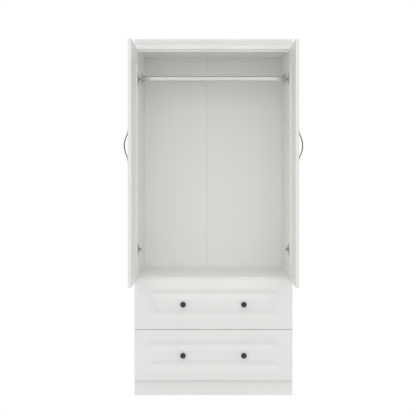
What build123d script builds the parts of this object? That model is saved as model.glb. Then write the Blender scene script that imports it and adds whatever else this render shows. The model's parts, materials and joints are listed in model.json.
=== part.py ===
from build123d import *
import os

# Free-standing wardrobe: two hinged doors over a hanging space, two drawers below.
# Frame: +Z up, front towards -Y, X to the right as seen from the front. The origin is on
# the floor, under the middle of the box that the wardrobe fills with both doors open at
# ninety degrees and both drawers shut, which is how the pieces are placed here.

os.makedirs("parts", exist_ok=True)

# ---------------------------------------------------------------- carcass
width = 800                 # over the side panels
height = 1800               # floor to the top of the cornice
board = 16                  # sides, shelves, doors and drawer fronts
side_depth = 500
shelf_depth = 499           # shelves stop just short of the back, clear of its joint strip
back_thickness = 3
strip_lip = 1               # the back joint strip stands this far behind the back
carcass_depth = side_depth + back_thickness + strip_lip
side_height = 1788
plinth_height = 76
floor_bottom = 582          # underside of the floor of the hanging space
lip_bottom = 1739           # lower edge of the fascia rail, behind the door tops
cornice_bottom = 1750
inner_half = width / 2 - board
ceiling = side_height - board
rear_plinth_top = plinth_height - board

# ---------------------------------------------------------------- doors and drawer fronts
front_gap = 2               # between neighbouring fronts
front_standoff = 2          # air between a shut front and the carcass
drawer_front_height = 255
drawer_front_width = width - 2 * 1.5
lower_front_bottom = plinth_height + 2
upper_front_bottom = lower_front_bottom + drawer_front_height + front_gap
door_bottom = upper_front_bottom + drawer_front_height + front_gap
door_width = 398
door_height = 1154
door_top = door_bottom + door_height
pivot_x = 393.25            # vertical door axis, from the middle of the wardrobe
pivot_setback = 14.25       # door axis in front of the carcass
shut_free_edge = 1.5
shut_hinge_edge = shut_free_edge + door_width
door_reach = pivot_setback + pivot_x - shut_free_edge

# the carcass front plane, so that the open wardrobe is centred on Y = 0
front = (door_reach - carcass_depth) / 2
rear = front + carcass_depth
back_face = front + side_depth

# an open door: inner face, outer face, free edge and hinge edge
door_inner = pivot_x - (pivot_setback - front_standoff)
door_outer = door_inner + board
door_free_edge = front - door_reach
door_hinge_edge = front - pivot_setback + shut_hinge_edge - pivot_x
door_mid_y = (door_free_edge + door_hinge_edge) / 2
door_mid_z = door_bottom + door_height / 2

# routed pattern of doors and drawer fronts
groove_depth = 7
groove_width = 50
groove_bevel = 71           # degrees from square to the face
side_margin = 60.5
top_margin = 52
bottom_margin = 52
corner_radius = 38
field_radius = 3
recess_depth = 4            # shallow recess in the inner face of a door
recess_bevel = 35           # degrees from square to the face
recess_margin = 60
recess_end_margin = 76


def save(piece, name):
    """Label one finished piece and write it as its own STEP file."""
    piece.part.label = name
    export_step(piece.part, f"parts/{name}.step")


def mirrored(piece):
    """The same piece on the other side of the wardrobe."""
    with BuildPart() as other:
        add(mirror(piece.part, about=Plane.YZ))
    return other


def save_pair(piece, name):
    """Write a right-hand piece and its left-hand twin."""
    save(piece, f"right_{name}")
    save(mirrored(piece), f"left_{name}")


def panel(x_range, y_range, z_range):
    """A plain board between the given limits."""
    with BuildPart() as piece:
        with BuildSketch(Plane.XY.offset(z_range[0])):
            with Locations(((x_range[0] + x_range[1]) / 2, (y_range[0] + y_range[1]) / 2)):
                Rectangle(x_range[1] - x_range[0], y_range[1] - y_range[0])
        extrude(amount=z_range[1] - z_range[0])
    return piece


# ---------------------------------------------------------------- cam fasteners
cam_radius = 7.5
cam_height = 12
cam_from_end = 34
cam_rows = (front + 60, front + 440)
cam_slot = (9, 1.6, 2)      # length, width and depth of the screwdriver slot
cam_spots = [(side * (inner_half - cam_from_end), y) for side in (-1, 1) for y in cam_rows]


def shelf(y_start, bottom, cams_on_top):
    """A shelf between the sides, with pockets for the cams that pull it tight."""
    with BuildPart() as piece:
        with BuildSketch(Plane.XY.offset(bottom)):
            with Locations((0, (y_start + front + shelf_depth) / 2)):
                Rectangle(2 * inner_half, front + shelf_depth - y_start)
        extrude(amount=board)
        pocket_start = bottom + board - cam_height if cams_on_top else bottom
        with BuildSketch(Plane.XY.offset(pocket_start)):
            with Locations(*cam_spots):
                Circle(cam_radius)
        extrude(amount=cam_height, mode=Mode.SUBTRACT)
    return piece


def cams(bottom, cams_on_top):
    """The four cams of one shelf, slots outwards."""
    start = bottom + board - cam_height if cams_on_top else bottom
    slot_start = start + cam_height - cam_slot[2] if cams_on_top else start
    with BuildPart() as piece:
        with BuildSketch(Plane.XY.offset(start)):
            with Locations(*cam_spots):
                Circle(cam_radius)
        extrude(amount=cam_height)
        with BuildSketch(Plane.XY.offset(slot_start)):
            with Locations(*cam_spots):
                Rectangle(cam_slot[0], cam_slot[1])
        extrude(amount=cam_slot[2], mode=Mode.SUBTRACT)
    return piece


# ---------------------------------------------------------------- carcass pieces
side_panel = panel((inner_half, width / 2), (front, back_face), (0, side_height))
save_pair(side_panel, "side_panel")

top_panel = shelf(front, ceiling, True)
save(top_panel, "top_panel")

wardrobe_floor = shelf(front, floor_bottom, False)
save(wardrobe_floor, "wardrobe_floor")

bottom_panel = shelf(front + board, rear_plinth_top, False)
save(bottom_panel, "bottom_panel")

with BuildPart() as cam_fasteners:
    add(cams(ceiling, True).part)
    add(cams(floor_bottom, False).part)
    add(cams(rear_plinth_top, False).part)
save(cam_fasteners, "cam_fasteners")

plinth = panel((-inner_half, inner_half), (front, front + board), (0, plinth_height))
save(plinth, "plinth")

rear_plinth = panel(
    (-inner_half, inner_half), (front + shelf_depth - board, front + shelf_depth), (0, rear_plinth_top)
)
save(rear_plinth, "rear_plinth")

fascia_rail = panel((-inner_half, inner_half), (front, front + board), (lip_bottom, ceiling))
save(fascia_rail, "fascia_rail")

# cornice: a flat band in line with the shut doors, then a cove, a bead and a top fillet
band_proud = front_standoff + board
band_top = 1771
bead_proud = 23
bead_bottom = 1780
bead_top = 1788
fillet_proud = 28
fillet_bottom = 1793
cove_sag = 1.6
with BuildPart() as cornice:
    with BuildSketch(Plane.YZ.offset(-width / 2)):
        with BuildLine():
            Polyline((front, height), (front, cornice_bottom), (front - band_proud, cornice_bottom),
                     (front - band_proud, band_top))
            ThreePointArc(
                (front - band_proud, band_top),
                (front - (band_proud + bead_proud) / 2 + cove_sag, (band_top + bead_bottom) / 2 + cove_sag),
                (front - bead_proud, bead_bottom),
            )
            Line((front - bead_proud, bead_bottom), (front - bead_proud, bead_top))
            ThreePointArc(
                (front - bead_proud, bead_top),
                (front - (bead_proud + fillet_proud) / 2 + cove_sag / 2,
                 (bead_top + fillet_bottom) / 2 + cove_sag / 2),
                (front - fillet_proud, fillet_bottom),
            )
            Polyline((front - fillet_proud, fillet_bottom), (front - fillet_proud, height), (front, height))
        make_face()
    extrude(amount=width)
save(cornice, "cornice")

# ---------------------------------------------------------------- back: two sheets and a joint strip
back_half = width / 2 - 2
back_range = (20, side_height - 2)
seam_x = -36
strip_web = 1
strip_width = 14
strip_front_lip = 0.8

back_left = panel((-back_half, seam_x - strip_web / 2), (back_face, back_face + back_thickness), back_range)
save(back_left, "back_panel_left")
back_right = panel((seam_x + strip_web / 2, back_half), (back_face, back_face + back_thickness), back_range)
save(back_right, "back_panel_right")

with BuildPart() as back_joint_strip:
    with BuildSketch(Plane.XY.offset(back_range[0])):
        with Locations((seam_x, back_face - strip_front_lip / 2)):
            Rectangle(strip_width, strip_front_lip)
        with Locations((seam_x, rear - strip_lip / 2)):
            Rectangle(strip_width, strip_lip)
        with Locations((seam_x, back_face + back_thickness / 2)):
            Rectangle(strip_web, back_thickness)
    extrude(amount=back_range[1] - back_range[0])
save(back_joint_strip, "back_joint_strip")

nail_shank = 0.8
nail_length = 15
nail_head = 2
nail_head_thick = 0.8
side_nail_count = 9
side_nail_pitch = 205
shelf_nail_x = (-300, -150, 150, 300)
shelf_nail_z = (rear_plinth_top + board / 2, floor_bottom + board / 2, ceiling + board / 2)
nail_spots = [
    (side * (width / 2 - board / 2), plinth_height + 20 + side_nail_pitch * step)
    for side in (-1, 1)
    for step in range(side_nail_count)
] + [(x, z) for x in shelf_nail_x for z in shelf_nail_z]
nail_seat = Plane(origin=(0, back_face + back_thickness, 0), x_dir=(1, 0, 0), z_dir=(0, -1, 0))
with BuildPart() as back_nails:
    with BuildSketch(nail_seat):
        with Locations(*nail_spots):
            Circle(nail_shank)
    extrude(amount=nail_length)
    with BuildSketch(nail_seat):
        with Locations(*nail_spots):
            Circle(nail_head)
    extrude(amount=-nail_head_thick)
save(back_nails, "back_nails")

# ---------------------------------------------------------------- wall brackets on top
bracket_x = 300
bracket_width = 20
bracket_thick = 2
bracket_leaf = 40
bracket_rise = 28
bracket_hole = 2.5
wall_hole_z = side_height + 16
top_screw_y = rear - 26
with BuildPart() as wall_bracket:
    with BuildSketch(Plane.YZ.offset(-bracket_width / 2)):
        with BuildLine():
            Polyline(
                (rear, side_height),
                (rear, side_height + bracket_rise),
                (rear - bracket_thick, side_height + bracket_rise),
                (rear - bracket_thick, side_height + bracket_thick),
                (rear - bracket_leaf, side_height + bracket_thick),
                (rear - bracket_leaf, side_height),
                close=True,
            )
        make_face()
    extrude(amount=bracket_width)
    with BuildSketch(Plane.XZ.offset(-rear)):
        with Locations((0, wall_hole_z)):
            Circle(bracket_hole)
    extrude(amount=bracket_thick, mode=Mode.SUBTRACT)
with BuildPart() as wall_brackets:
    for side in (-1, 1):
        add(wall_bracket.part.moved(Location((side * bracket_x, 0, 0))))
save(wall_brackets, "wall_brackets")

screw_shank = 1.75
screw_head = 3.8
screw_head_thick = 1.6
screw_length = 13
bracket_screw_seat = Plane.XY.offset(side_height + bracket_thick)
with BuildPart() as wall_bracket_screws:
    with BuildSketch(bracket_screw_seat):
        with Locations((-bracket_x, top_screw_y), (bracket_x, top_screw_y)):
            Circle(screw_head)
    extrude(amount=screw_head_thick)
    with BuildSketch(bracket_screw_seat):
        with Locations((-bracket_x, top_screw_y), (bracket_x, top_screw_y)):
            Circle(screw_shank)
    extrude(amount=-screw_length)
save(wall_bracket_screws, "wall_bracket_screws")

# ---------------------------------------------------------------- hanging rail
rail_size = (15, 30)        # flat oval tube: depth and height
rail_wall = 1
rail_round = 7.4            # its ends are all but half round
rail_y = front + 250
rail_z = 1627
socket_base = 3
socket_depth = 14
socket_wall = 2
socket_plate = (32, 62)
socket_corner = 8
socket_screw_rise = 24
with BuildPart() as hanging_rail:
    with BuildSketch(Plane.YZ.offset(-(inner_half - socket_base))):
        with Locations((rail_y, rail_z)):
            RectangleRounded(rail_size[0], rail_size[1], rail_round)
            RectangleRounded(rail_size[0] - 2 * rail_wall, rail_size[1] - 2 * rail_wall,
                             rail_round - rail_wall, mode=Mode.SUBTRACT)
    extrude(amount=2 * (inner_half - socket_base))
save(hanging_rail, "hanging_rail")

with BuildPart() as rail_bracket:
    with BuildSketch(Plane.YZ.offset(inner_half - socket_base)):
        with Locations((rail_y, rail_z)):
            RectangleRounded(socket_plate[0], socket_plate[1], socket_corner)
    extrude(amount=socket_base)
    with BuildSketch(Plane.YZ.offset(inner_half - socket_base)):
        with Locations((rail_y, rail_z)):
            RectangleRounded(rail_size[0] + 2 * socket_wall, rail_size[1] + 2 * socket_wall,
                             rail_round + socket_wall)
            RectangleRounded(rail_size[0], rail_size[1], rail_round, mode=Mode.SUBTRACT)
    extrude(amount=-socket_depth)
save_pair(rail_bracket, "rail_bracket")

with BuildPart() as rail_screws_right:
    for rise in (-socket_screw_rise, socket_screw_rise):
        with BuildSketch(Plane.YZ.offset(inner_half - socket_base)):
            with Locations((rail_y, rail_z + rise)):
                Circle(screw_head)
        extrude(amount=-screw_head_thick)
        with BuildSketch(Plane.YZ.offset(inner_half - socket_base)):
            with Locations((rail_y, rail_z + rise)):
                Circle(screw_shank)
        extrude(amount=screw_length)
with BuildPart() as rail_bracket_screws:
    add(rail_screws_right.part)
    add(mirror(rail_screws_right.part, about=Plane.YZ))
save(rail_bracket_screws, "rail_bracket_screws")

# ---------------------------------------------------------------- door bumpers
bumper_radius = 2.8
bumper_thick = 1.8
bumper_x = 22
bumper_spots = [
    (side * bumper_x, z)
    for side in (-1, 1)
    for z in ((lip_bottom + door_top) / 2, (door_bottom + floor_bottom + board) / 2)
]
with BuildPart() as door_bumpers:
    with BuildSketch(Plane.XZ.offset(-front)):
        with Locations(*bumper_spots):
            Circle(bumper_radius)
    extrude(amount=bumper_thick)
save(door_bumpers, "door_bumpers")

# ---------------------------------------------------------------- concealed hinges (right side)
hinge_inset = 145
hinge_levels = (door_bottom + hinge_inset, door_top - hinge_inset)
knuckle_x = 367             # pin where the hinge link swings on the arm
knuckle_y = front - 8
knuckle_radius = 3.2
pin_radius = 1.5
pin_bore = 1.55
link_half = 4               # half the link's height
cheek_gap = 4.2             # half the space between the arm's cheeks
cheek_half = 6
plate_thick = 2.5
plate_setback = 37
plate_size = (26, 48)
plate_corner = 4
rib_half = 3.8
rib_x = 375
rib_length = 40
arm_web = 1.5
arm_back_x = 372.4
arm_nose = front - 4        # the web starts here, the cheeks run on to the knuckle
arm_neck = front + 4        # from here the arm cranks over towards its plate
arm_shoulder = front + 16
arm_rear = front + 60
cheek_neck = front - 2
cheek_shoulder = front + 20
web_shift = 0.5             # keeps the web even in thickness round the crank
plate_x = inner_half - plate_thick
cheek_back_x = plate_x - 1.5
plate_screw_rise = 16

with BuildPart() as hinge_plates:
    for level in hinge_levels:
        with BuildSketch(Plane.YZ.offset(plate_x)):
            with Locations((front + plate_setback, level)):
                RectangleRounded(plate_size[0], plate_size[1], plate_corner)
        extrude(amount=plate_thick)
        with BuildSketch(Plane.YZ.offset(rib_x)):
            with Locations((front + plate_setback, level)):
                Rectangle(rib_length, 2 * rib_half)
        extrude(amount=plate_x - rib_x)
save_pair(hinge_plates, "hinge_plates")

with BuildPart() as hinge_arms:
    for level in hinge_levels:
        for low in (level - cheek_half, level + cheek_gap):
            with BuildSketch(Plane.XY.offset(low)):
                with BuildLine():
                    Polyline(
                        (knuckle_x - knuckle_radius, knuckle_y),
                        (knuckle_x - knuckle_radius, arm_neck),
                        (arm_back_x, arm_shoulder),
                        (arm_back_x, arm_rear),
                        (cheek_back_x, arm_rear),
                        (cheek_back_x, cheek_shoulder),
                        (knuckle_x + knuckle_radius, cheek_neck),
                        (knuckle_x + knuckle_radius, knuckle_y),
                        close=True,
                    )
                make_face()
                with Locations((knuckle_x, knuckle_y)):
                    Circle(knuckle_radius)
            extrude(amount=cheek_half - cheek_gap)
        with BuildSketch(Plane.XY.offset(level - cheek_gap)):
            with BuildLine():
                Polyline(
                    (knuckle_x - knuckle_radius, arm_nose),
                    (knuckle_x - knuckle_radius, arm_neck),
                    (arm_back_x, arm_shoulder),
                    (arm_back_x, arm_rear),
                    (arm_back_x + arm_web, arm_rear),
                    (arm_back_x + arm_web, arm_shoulder - web_shift),
                    (knuckle_x - knuckle_radius + arm_web, arm_neck - web_shift),
                    (knuckle_x - knuckle_radius + arm_web, arm_nose),
                    close=True,
                )
            make_face()
        extrude(amount=2 * cheek_gap)
        with BuildSketch(Plane.XY.offset(level - cheek_half)):
            with Locations((knuckle_x, knuckle_y)):
                Circle(pin_radius)
        extrude(amount=2 * cheek_half)
save_pair(hinge_arms, "hinge_arms")

with BuildPart() as plate_screws_right:
    for level in hinge_levels:
        for rise in (-plate_screw_rise, plate_screw_rise):
            with BuildSketch(Plane.YZ.offset(plate_x)):
                with Locations((front + plate_setback, level + rise)):
                    Circle(screw_head)
            extrude(amount=-screw_head_thick)
            with BuildSketch(Plane.YZ.offset(plate_x)):
                with Locations((front + plate_setback, level + rise)):
                    Circle(screw_shank)
            extrude(amount=screw_length)
with BuildPart() as hinge_plate_screws:
    add(plate_screws_right.part)
    add(mirror(plate_screws_right.part, about=Plane.YZ))
save(hinge_plate_screws, "hinge_plate_screws")

# link: an eye on the arm's pin and a curved strap whose knuckle lies loose in the door cup
link_eye = 2.6
link_strap = 2
link_mid = (378, front - 15)
link_end = (386.7, front - 16.5)
link_knuckle = 1.8
with BuildPart() as hinge_links:
    for level in hinge_levels:
        with BuildSketch(Plane.XY.offset(level - link_half)):
            with BuildLine():
                ThreePointArc((knuckle_x, knuckle_y), link_mid, link_end)
            trace(line_width=link_strap)
            with Locations((knuckle_x, knuckle_y)):
                Circle(link_eye)
            with Locations(link_end):
                Circle(link_knuckle)
            with Locations((knuckle_x, knuckle_y)):
                Circle(pin_bore, mode=Mode.SUBTRACT)
        extrude(amount=2 * link_half)
save_pair(hinge_links, "hinge_links")

# cup in the door, with its flange and two screws
cup_radius = 17.5
cup_depth = 11.5
cup_wall = 0.6
cup_from_edge = 21.5
cup_y = door_hinge_edge - cup_from_edge
flange_thick = 1.2
flange_size = (21, 62)
flange_corner = 5
flange_y = cup_y - 3
cup_screw_rise = 24
cup_screw_y = cup_y - 5.5
cup_screw_length = 11
with BuildPart() as hinge_cups:
    for level in hinge_levels:
        with BuildSketch(Plane.YZ.offset(door_inner)):
            with Locations((cup_y, level)):
                Circle(cup_radius)
        extrude(amount=cup_depth)
        with BuildSketch(Plane.YZ.offset(door_inner - flange_thick)):
            with Locations((cup_y, level)):
                Circle(cup_radius + 1)
            with Locations((flange_y, level)):
                RectangleRounded(flange_size[0], flange_size[1], flange_corner)
        extrude(amount=flange_thick)
        with BuildSketch(Plane.YZ.offset(door_inner - flange_thick)):
            with Locations((cup_y, level)):
                Circle(cup_radius - cup_wall)
        extrude(amount=flange_thick + cup_depth - cup_wall, mode=Mode.SUBTRACT)
save_pair(hinge_cups, "hinge_cups")

with BuildPart() as hinge_cup_screws:
    for level in hinge_levels:
        for rise in (-cup_screw_rise, cup_screw_rise):
            with BuildSketch(Plane.YZ.offset(door_inner - flange_thick)):
                with Locations((cup_screw_y, level + rise)):
                    Circle(screw_head)
            extrude(amount=-screw_head_thick)
            with BuildSketch(Plane.YZ.offset(door_inner - flange_thick)):
                with Locations((cup_screw_y, level + rise)):
                    Circle(screw_shank)
            extrude(amount=cup_screw_length)
save_pair(hinge_cup_screws, "hinge_cup_screws")

# ---------------------------------------------------------------- doors (right side)
handle_from_edge = 40
handle_y = door_free_edge + handle_from_edge
handle_z = 1252
handle_centres = 128
handle_hole = 2.1
handle_screw_levels = (handle_z - handle_centres / 2, handle_z + handle_centres / 2)


def pattern(wide, high, radius):
    """A rectangle about the local origin whose two upper corners are round."""
    with BuildSketch() as shape:
        Rectangle(wide, high)
        fillet(shape.vertices().group_by(Axis.Y)[-1], radius)
    return shape.sketch


def routed_ring(wide, high):
    """The groove that runs round a raised field, as a flat ring about the local origin."""
    with BuildSketch() as shape:
        add(pattern(wide, high, corner_radius))
        add(pattern(wide - 2 * groove_width, high - 2 * groove_width, field_radius), mode=Mode.SUBTRACT)
    return shape.sketch


with BuildPart() as door_panel:
    with BuildSketch(Plane.YZ.offset(door_inner)):
        with Locations((door_mid_y, door_mid_z)):
            Rectangle(door_width, door_height)
    extrude(amount=board)
    with BuildSketch(Plane.YZ.offset(door_outer)):
        with Locations((door_mid_y, door_mid_z + (bottom_margin - top_margin) / 2)):
            add(routed_ring(door_width - 2 * side_margin, door_height - top_margin - bottom_margin))
    extrude(amount=-groove_depth, taper=groove_bevel, mode=Mode.SUBTRACT)
    with BuildSketch(Plane.YZ.offset(door_inner)):
        with Locations((door_mid_y, door_mid_z)):
            Rectangle(door_width - 2 * recess_margin, door_height - 2 * recess_end_margin)
    extrude(amount=recess_depth, taper=recess_bevel, mode=Mode.SUBTRACT)
    with BuildSketch(Plane.YZ.offset(door_inner)):
        with Locations(*[(cup_y, level) for level in hinge_levels]):
            Circle(cup_radius)
    extrude(amount=cup_depth, mode=Mode.SUBTRACT)
    with BuildSketch(Plane.YZ.offset(door_inner)):
        with Locations(*[(handle_y, level) for level in handle_screw_levels]):
            Circle(handle_hole)
    extrude(amount=board, mode=Mode.SUBTRACT)
save_pair(door_panel, "door_panel")

# bow handle: a flat strap that lies on the door at its feet and bows out between them
strap_thick = 5.2
strap_wide = 9
strap_lift = strap_thick / 2 + 0.2
strap_end = 73
strap_bend = 56
strap_peak = 28             # where the two flanks of the bow would meet
foot_bend_radius = 22
bow_radius = 92
foot_radius = 4.2
foot_height = 4
handle_plane = Plane(origin=(door_outer, handle_y, handle_z), x_dir=(0, 0, 1), z_dir=(0, 1, 0))
with BuildPart() as handle:
    with BuildLine(handle_plane) as bow:
        FilletPolyline(
            (-strap_end, strap_lift), (-strap_bend, strap_lift), (0, strap_peak),
            (strap_bend, strap_lift), (strap_end, strap_lift),
            radius=(foot_bend_radius, bow_radius, foot_bend_radius),
        )
    with BuildSketch(Plane(origin=bow.line @ 0, x_dir=(0, 1, 0), z_dir=bow.line % 0)):
        Ellipse(strap_wide / 2, strap_thick / 2)
    sweep()
    with BuildSketch(Plane.YZ.offset(door_outer)):
        with Locations(*[(handle_y, level) for level in handle_screw_levels]):
            Circle(foot_radius)
    extrude(amount=foot_height)
save_pair(handle, "handle")

machine_head = 4
machine_head_thick = 2.2
machine_shank = 2
machine_bite = 3            # how far the screw runs into the handle's foot
with BuildPart() as handle_screws:
    with BuildSketch(Plane.YZ.offset(door_inner)):
        with Locations(*[(handle_y, level) for level in handle_screw_levels]):
            Circle(machine_head)
    extrude(amount=-machine_head_thick)
    with BuildSketch(Plane.YZ.offset(door_inner)):
        with Locations(*[(handle_y, level) for level in handle_screw_levels]):
            Circle(machine_shank)
    extrude(amount=board + machine_bite)
save_pair(handle_screws, "handle_screws")

# ---------------------------------------------------------------- drawers
front_back_y = front - front_standoff
front_face_y = front_back_y - board
box_rise = 30               # drawer sides start this far above the lower edge of the front
box_height = 170
box_half = 371.5
box_side = 12
box_rear = front + 470
slot_rise = 8               # groove for the drawer bottom
slot_high = 3
slot_deep = 6
front_slot_deep = 5
knob_x = 153
knob_hole = 2.1
knob_bite = 10
# knob outline from the foot to the button: (radius, distance from the face)
foot_edge = (8, 1.6)
neck_waist = (5.5, 9)
head_back = (13, 15.6)
head_front = (12.6, 20.8)
button_rim = (7, 23.7)
button_edge = (6, 22.7)
button_middle = (0, 23.5)
knob_arcs = (
    (foot_edge, (5.9, 4.5), neck_waist),
    (neck_waist, (7.8, 13.4), head_back),
    (head_back, (14.25, 18), head_front),
    (head_front, (10.2, 22.8), button_rim),
)

# roller runners, measured from the underside of the cabinet member
runner_drop = 6             # cabinet member starts this far under the drawer side
runner_length = 450
runner_start = front + 3
runner_thick = 1.2
runner_high = 26
runner_lip_x = 373
roller_radius = 8
roller_bore = 2.55
axle_radius = 2.5
axle_end = 373.6
roller_x = (374, 380)
axle_rise = 9.25
track_rise = 17.3
track_edge_x = 381
front_axle_y = front + 13
rear_axle_y = front + 440
track_rear = front + 428
member_start = front - 1
member_rear = front + 449


def both_sides(piece):
    """One piece with the given right-hand solids and their twins on the left."""
    with BuildPart() as pair:
        add(piece.part)
        add(mirror(piece.part, about=Plane.YZ))
    return pair


def drawer_front(bottom, box_bottom):
    """Front board with its routed pattern, knob holes and the slot for the drawer bottom."""
    middle = bottom + drawer_front_height / 2
    with BuildPart() as piece:
        with BuildSketch(Plane.XZ.offset(-front_back_y)):
            with Locations((0, middle)):
                Rectangle(drawer_front_width, drawer_front_height)
        extrude(amount=board)
        with BuildSketch(Plane.XZ.offset(-front_face_y)):
            with Locations((0, middle + (bottom_margin - top_margin) / 2)):
                add(routed_ring(drawer_front_width - 2 * side_margin,
                                drawer_front_height - top_margin - bottom_margin))
        extrude(amount=-groove_depth, taper=groove_bevel, mode=Mode.SUBTRACT)
        with BuildSketch(Plane.XZ.offset(-front_back_y)):
            with Locations((-knob_x, middle), (knob_x, middle)):
                Circle(knob_hole)
        extrude(amount=board, mode=Mode.SUBTRACT)
        with BuildSketch(Plane.XZ.offset(-front_back_y)):
            with Locations((0, box_bottom + slot_rise + slot_high / 2)):
                Rectangle(2 * (box_half - box_side + slot_deep), slot_high)
        extrude(amount=front_slot_deep, mode=Mode.SUBTRACT)
    return piece


def drawer_side(box_bottom):
    """Right-hand side of a drawer, with the groove that holds the bottom."""
    with BuildPart() as piece:
        with BuildSketch(Plane.XY.offset(box_bottom)):
            with Locations((box_half - box_side / 2, (front_back_y + box_rear) / 2)):
                Rectangle(box_side, box_rear - front_back_y)
        extrude(amount=box_height)
        with BuildSketch(Plane.XY.offset(box_bottom + slot_rise)):
            with Locations((box_half - box_side + slot_deep / 2, (front_back_y + box_rear) / 2)):
                Rectangle(slot_deep, box_rear - front_back_y)
        extrude(amount=slot_high, mode=Mode.SUBTRACT)
    return piece


def knobs(middle):
    """Two turned knobs."""
    with BuildPart() as piece:
        for x in (-knob_x, knob_x):
            seat = Plane(origin=(x, front_face_y, middle), x_dir=(1, 0, 0), z_dir=(0, 0, -1))
            with BuildSketch(seat):
                with BuildLine():
                    Polyline(button_middle, (0, 0), (foot_edge[0], 0), foot_edge)
                    for arc in knob_arcs:
                        ThreePointArc(*arc)
                    Polyline(button_rim, button_edge, button_middle)
                make_face()
            revolve(axis=Axis((x, front_face_y, middle), (0, -1, 0)))
    return piece


def knob_screws(middle):
    """Machine screws that hold the knobs from inside the drawer."""
    with BuildPart() as piece:
        with BuildSketch(Plane.XZ.offset(-front_back_y)):
            with Locations((-knob_x, middle), (knob_x, middle)):
                Circle(machine_head)
        extrude(amount=-machine_head_thick)
        with BuildSketch(Plane.XZ.offset(-front_back_y)):
            with Locations((-knob_x, middle), (knob_x, middle)):
                Circle(machine_shank)
        extrude(amount=board + knob_bite)
    return piece


def cabinet_runner(base):
    """Channel on the side panel, open towards the drawer, with the axle of its front roller."""
    with BuildPart() as piece:
        with BuildSketch(Plane.XZ.offset(-runner_start)):
            with BuildLine():
                Polyline(
                    (runner_lip_x, base),
                    (inner_half, base),
                    (inner_half, base + runner_high),
                    (runner_lip_x, base + runner_high),
                    (runner_lip_x, base + runner_high - runner_thick),
                    (inner_half - runner_thick, base + runner_high - runner_thick),
                    (inner_half - runner_thick, base + runner_thick),
                    (runner_lip_x, base + runner_thick),
                    close=True,
                )
            make_face()
        extrude(amount=-runner_length)
        with BuildSketch(Plane.YZ.offset(inner_half - runner_thick)):
            with Locations((front_axle_y, base + axle_rise)):
                Circle(axle_radius)
        extrude(amount=axle_end - inner_half + runner_thick)
    return piece


def drawer_runner(base, box_bottom):
    """Angle under the drawer side, its track over the front roller, and the rear roller's axle."""
    with BuildPart() as piece:
        with BuildSketch(Plane.XZ.offset(-member_start)):
            with BuildLine():
                Polyline(
                    (box_half - box_side, box_bottom - runner_thick),
                    (box_half + runner_thick, box_bottom - runner_thick),
                    (box_half + runner_thick, base + track_rise + runner_thick),
                    (box_half, base + track_rise + runner_thick),
                    (box_half, box_bottom),
                    (box_half - box_side, box_bottom),
                    close=True,
                )
            make_face()
        extrude(amount=member_start - member_rear)
        with BuildSketch(Plane.XY.offset(base + track_rise)):
            with Locations(((box_half + track_edge_x) / 2, (member_start + track_rear) / 2)):
                Rectangle(track_edge_x - box_half, track_rear - member_start)
        extrude(amount=runner_thick)
        with BuildSketch(Plane.YZ.offset(box_half + runner_thick)):
            with Locations((rear_axle_y, base + axle_rise)):
                Circle(axle_radius)
        extrude(amount=track_edge_x - box_half - runner_thick)
    return piece


def roller(axle_y, base):
    """One nylon roller on its axle."""
    with BuildPart() as piece:
        with BuildSketch(Plane.YZ.offset(roller_x[0])):
            with Locations((axle_y, base + axle_rise)):
                Circle(roller_radius)
                Circle(roller_bore, mode=Mode.SUBTRACT)
        extrude(amount=roller_x[1] - roller_x[0])
    return piece


for drawer, bottom in (("upper", upper_front_bottom), ("lower", lower_front_bottom)):
    middle = bottom + drawer_front_height / 2
    box_bottom = bottom + box_rise
    runner_base = box_bottom - runner_drop
    slot_bottom = box_bottom + slot_rise
    slot_top = slot_bottom + slot_high
    slot_half = box_half - box_side + slot_deep
    save(drawer_front(bottom, box_bottom), f"{drawer}_drawer_front")
    side = drawer_side(box_bottom)
    save(side, f"{drawer}_drawer_right_side")
    save(mirrored(side), f"{drawer}_drawer_left_side")
    back = panel((box_side - box_half, box_half - box_side), (box_rear - box_side, box_rear),
                 (slot_top, box_bottom + box_height))
    save(back, f"{drawer}_drawer_back")
    base = panel((-slot_half, slot_half), (front_back_y - front_slot_deep, box_rear), (slot_bottom, slot_top))
    save(base, f"{drawer}_drawer_bottom")
    save(knobs(middle), f"{drawer}_drawer_knobs")
    save(knob_screws(middle), f"{drawer}_drawer_knob_screws")
    save(both_sides(cabinet_runner(runner_base)), f"{drawer}_cabinet_runners")
    save(both_sides(drawer_runner(runner_base, box_bottom)), f"{drawer}_drawer_runners")
    save(both_sides(roller(front_axle_y, runner_base)), f"{drawer}_cabinet_rollers")
    save(both_sides(roller(rear_axle_y, runner_base)), f"{drawer}_drawer_rollers")
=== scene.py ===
"""White wardrobe: open doors, hanging rail, two drawers and a moulded cornice, on a white studio floor."""
import json
import math

import bmesh
import bpy
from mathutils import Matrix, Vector
from mathutils.geometry import tessellate_polygon


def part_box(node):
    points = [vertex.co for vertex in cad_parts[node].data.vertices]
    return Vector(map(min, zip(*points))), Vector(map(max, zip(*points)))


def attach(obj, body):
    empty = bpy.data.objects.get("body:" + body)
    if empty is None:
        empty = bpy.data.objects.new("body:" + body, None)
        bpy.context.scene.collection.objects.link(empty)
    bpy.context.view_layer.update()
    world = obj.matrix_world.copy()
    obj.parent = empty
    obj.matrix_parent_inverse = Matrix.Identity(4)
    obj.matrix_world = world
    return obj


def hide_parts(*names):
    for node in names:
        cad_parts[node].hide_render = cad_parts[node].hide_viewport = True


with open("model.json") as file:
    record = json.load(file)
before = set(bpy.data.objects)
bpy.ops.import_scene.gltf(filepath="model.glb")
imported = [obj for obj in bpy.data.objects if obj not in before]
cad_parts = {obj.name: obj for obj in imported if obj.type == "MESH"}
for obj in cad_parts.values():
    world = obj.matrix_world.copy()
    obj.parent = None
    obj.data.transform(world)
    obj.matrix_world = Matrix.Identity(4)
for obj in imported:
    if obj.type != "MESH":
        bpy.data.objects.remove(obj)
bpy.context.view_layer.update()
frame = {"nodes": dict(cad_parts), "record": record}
nodes = frame["nodes"]
bodies = frame["record"]["behaviour"]["bodies"]
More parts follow.
